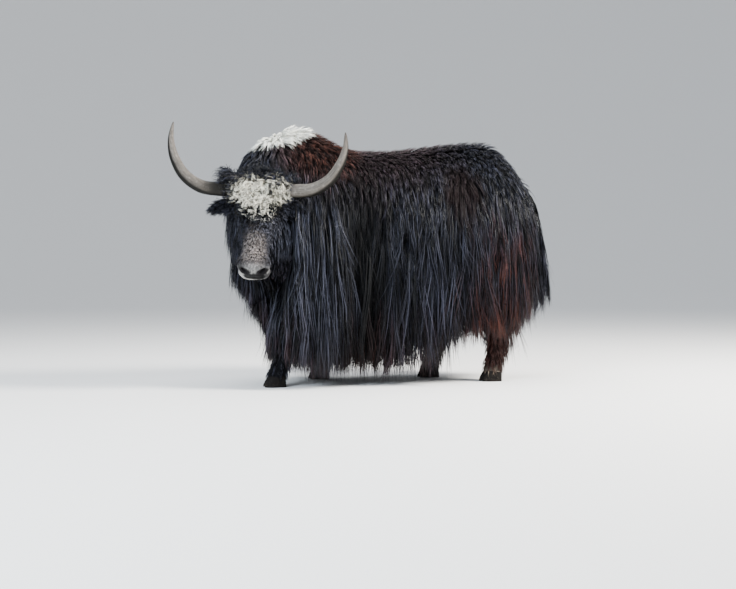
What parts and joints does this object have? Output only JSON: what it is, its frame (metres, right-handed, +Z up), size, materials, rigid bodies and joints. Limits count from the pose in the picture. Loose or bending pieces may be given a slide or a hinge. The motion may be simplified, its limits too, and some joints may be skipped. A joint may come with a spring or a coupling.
{
  "type": "long-haired yak model",
  "caption": "Life-size long-haired yak bull standing in mid step, head turned to its left, with curved horns and a coat that nearly reaches the floor.",
  "frame": {"origin": "on the floor, below the middle of the whole animal's bounding box", "axes": "+Z up from the floor, the trunk faces -Y, the animal's left side is +X"},
  "size_m": [0.8649, 2.2137, 1.4077],
  "materials": {
    "coat": "long black hair",
    "face": "short dark hair with cream curls on the forehead",
    "horn": "smooth pale grey horn",
    "hoof": "dark hoof horn",
    "eye": "wet dark brown"
  },
  "bodies": {
    "root": {"torso": "coat", "neck": "coat", "tail": "coat", "foreleg_left": "coat", "foreleg_right": "coat", "hindleg_left": "coat", "hindleg_right": "coat", "ear_left": "coat", "ear_right": "coat", "head": "face", "horn_left": "horn", "horn_right": "horn", "forehoof_left_claw_left": "hoof", "forehoof_left_claw_right": "hoof", "forehoof_right_claw_left": "hoof", "forehoof_right_claw_right": "hoof", "hindhoof_left_claw_left": "hoof", "hindhoof_left_claw_right": "hoof", "hindhoof_right_claw_left": "hoof", "hindhoof_right_claw_right": "hoof", "eye_left": "eye", "eye_right": "eye"}
  },
  "joints": []
}
